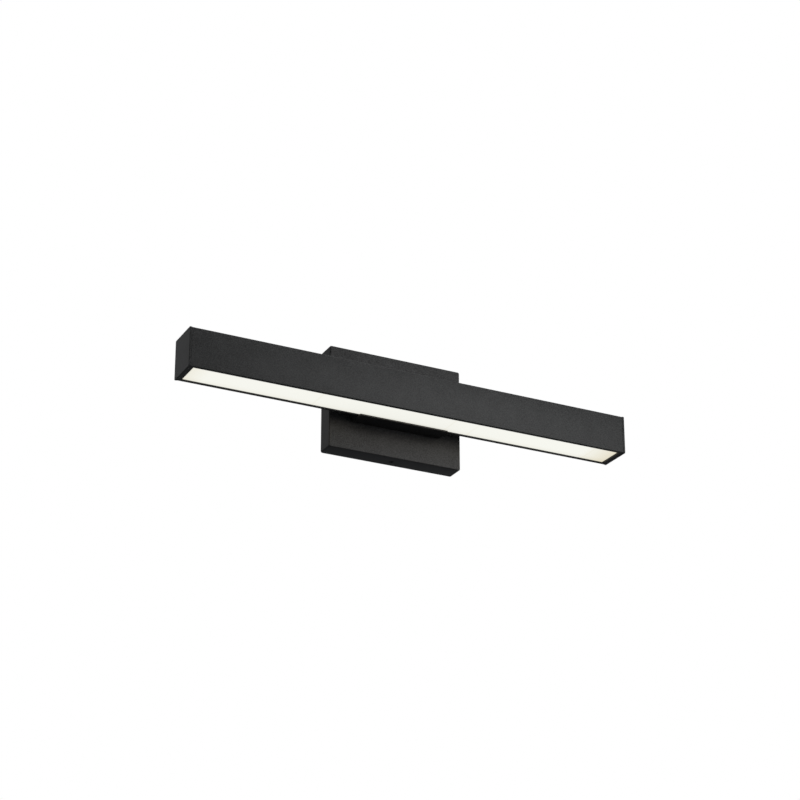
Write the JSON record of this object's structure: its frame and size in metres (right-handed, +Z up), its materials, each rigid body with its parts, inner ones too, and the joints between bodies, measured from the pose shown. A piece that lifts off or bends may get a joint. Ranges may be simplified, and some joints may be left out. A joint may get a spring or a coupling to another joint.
{
  "type": "vanity light bar",
  "caption": "Straight matte black LED vanity light bar with a frosted underside, carried off a rectangular wall canopy by a folded saddle bracket.",
  "frame": {"origin": "centre of the wall plate's back face, on the wall, level with the canopy's centre", "axes": "+X along the bar (to the right, seen from the room), -Y out of the wall into the room, +Z up"},
  "size_m": [0.61, 0.0886, 0.138],
  "materials": {
    "black_coated_steel": "fine matte black powder coat on folded sheet steel",
    "black_coated_aluminium": null,
    "frosted_acrylic": "opal acrylic, lit from behind",
    "white_coated_aluminium": null,
    "white_circuit_board": "white solder mask",
    "green_circuit_board": "green solder mask",
    "zinc_plated_steel": "bright zinc plate",
    "black_oxide_steel": "black oxide, slightly oiled",
    "green_ground_steel": "green dyed zinc plate",
    "yellow_brass": "turned brass",
    "white_nylon": "moulded nylon",
    "black_nylon": "moulded nylon",
    "grey_polycarbonate": "moulded polycarbonate",
    "grey_lead_sheath": "PVC sheath"
  },
  "bodies": {
    "wall_side": {"wall_plate": "zinc_plated_steel", "ground_screw": "green_ground_steel"},
    "fixture": {"canopy": "black_coated_steel", "lock_screw_nut": "zinc_plated_steel", "terminal_block": "white_nylon", "terminal_nut": "zinc_plated_steel", "saddle_bracket": "black_coated_steel", "standoff_left": "zinc_plated_steel", "standoff_right": "zinc_plated_steel", "canopy_screw_left": "zinc_plated_steel", "canopy_screw_right": "zinc_plated_steel", "bar_screw_left": "zinc_plated_steel", "bar_screw_right": "zinc_plated_steel", "wire_nipple": "yellow_brass", "nipple_nut_canopy": "zinc_plated_steel", "nipple_nut_bar": "zinc_plated_steel", "nipple_bushing_canopy": "black_nylon", "nipple_bushing_bar": "black_nylon", "bar_housing": "black_coated_aluminium", "end_cap_left": "black_coated_aluminium", "end_cap_right": "black_coated_aluminium", "diffuser": "frosted_acrylic", "led_tray": "white_coated_aluminium", "led_board_left": "white_circuit_board", "led_board_right": "white_circuit_board", "board_screw_left_1": "zinc_plated_steel", "board_screw_left_2": "zinc_plated_steel", "board_screw_right_1": "zinc_plated_steel", "board_screw_right_2": "zinc_plated_steel", "board_link": "white_nylon", "board_socket": "white_nylon", "tray_grommet": "black_nylon", "driver_base": "grey_polycarbonate", "driver_board": "green_circuit_board", "driver_lid": "grey_polycarbonate", "driver_screw_1": "zinc_plated_steel", "driver_screw_2": "zinc_plated_steel", "led_lead": "grey_lead_sheath", "supply_lead": "grey_lead_sheath"},
    "clamp_screw": {"lock_screw": "black_oxide_steel"}
  },
  "joints": [
    {"name": "fixture_pull_off", "type": "slide", "parent": "wall_side", "child": "fixture", "axis": [0, -1, 0], "range_m": [0, 0.03]},
    {"name": "lock_screw_travel", "type": "slide", "parent": "fixture", "child": "clamp_screw", "axis": [0, 0, -1], "range_m": [0, 0.005]}
  ]
}
